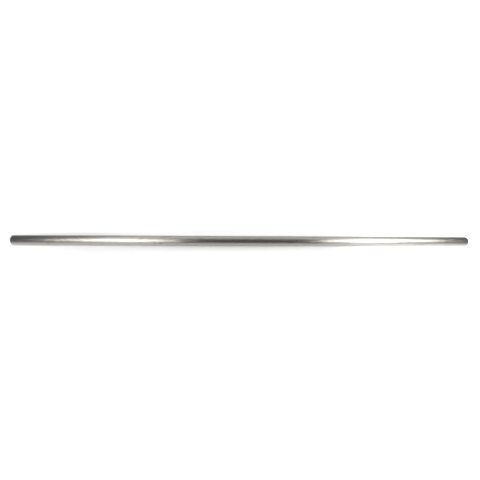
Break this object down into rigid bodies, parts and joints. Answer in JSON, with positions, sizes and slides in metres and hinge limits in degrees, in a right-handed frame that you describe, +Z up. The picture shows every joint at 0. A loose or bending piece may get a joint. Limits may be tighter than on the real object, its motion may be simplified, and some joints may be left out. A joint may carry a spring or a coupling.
{
  "type": "stainless steel tube",
  "caption": "Round stainless steel tube, a straight length of stock with square-cut, deburred open ends, for pipework, rails and frames.",
  "frame": {"origin": "on the floor, below the middle of the tube", "axes": "+X along the tube, +Y away from the viewer, +Z up; the tube's axis is 11 mm above the floor"},
  "size_m": [1, 0.022, 0.022],
  "materials": {
    "stainless": "satin, polished along the tube"
  },
  "bodies": {
    "root": {"tube": "stainless"}
  },
  "joints": []
}
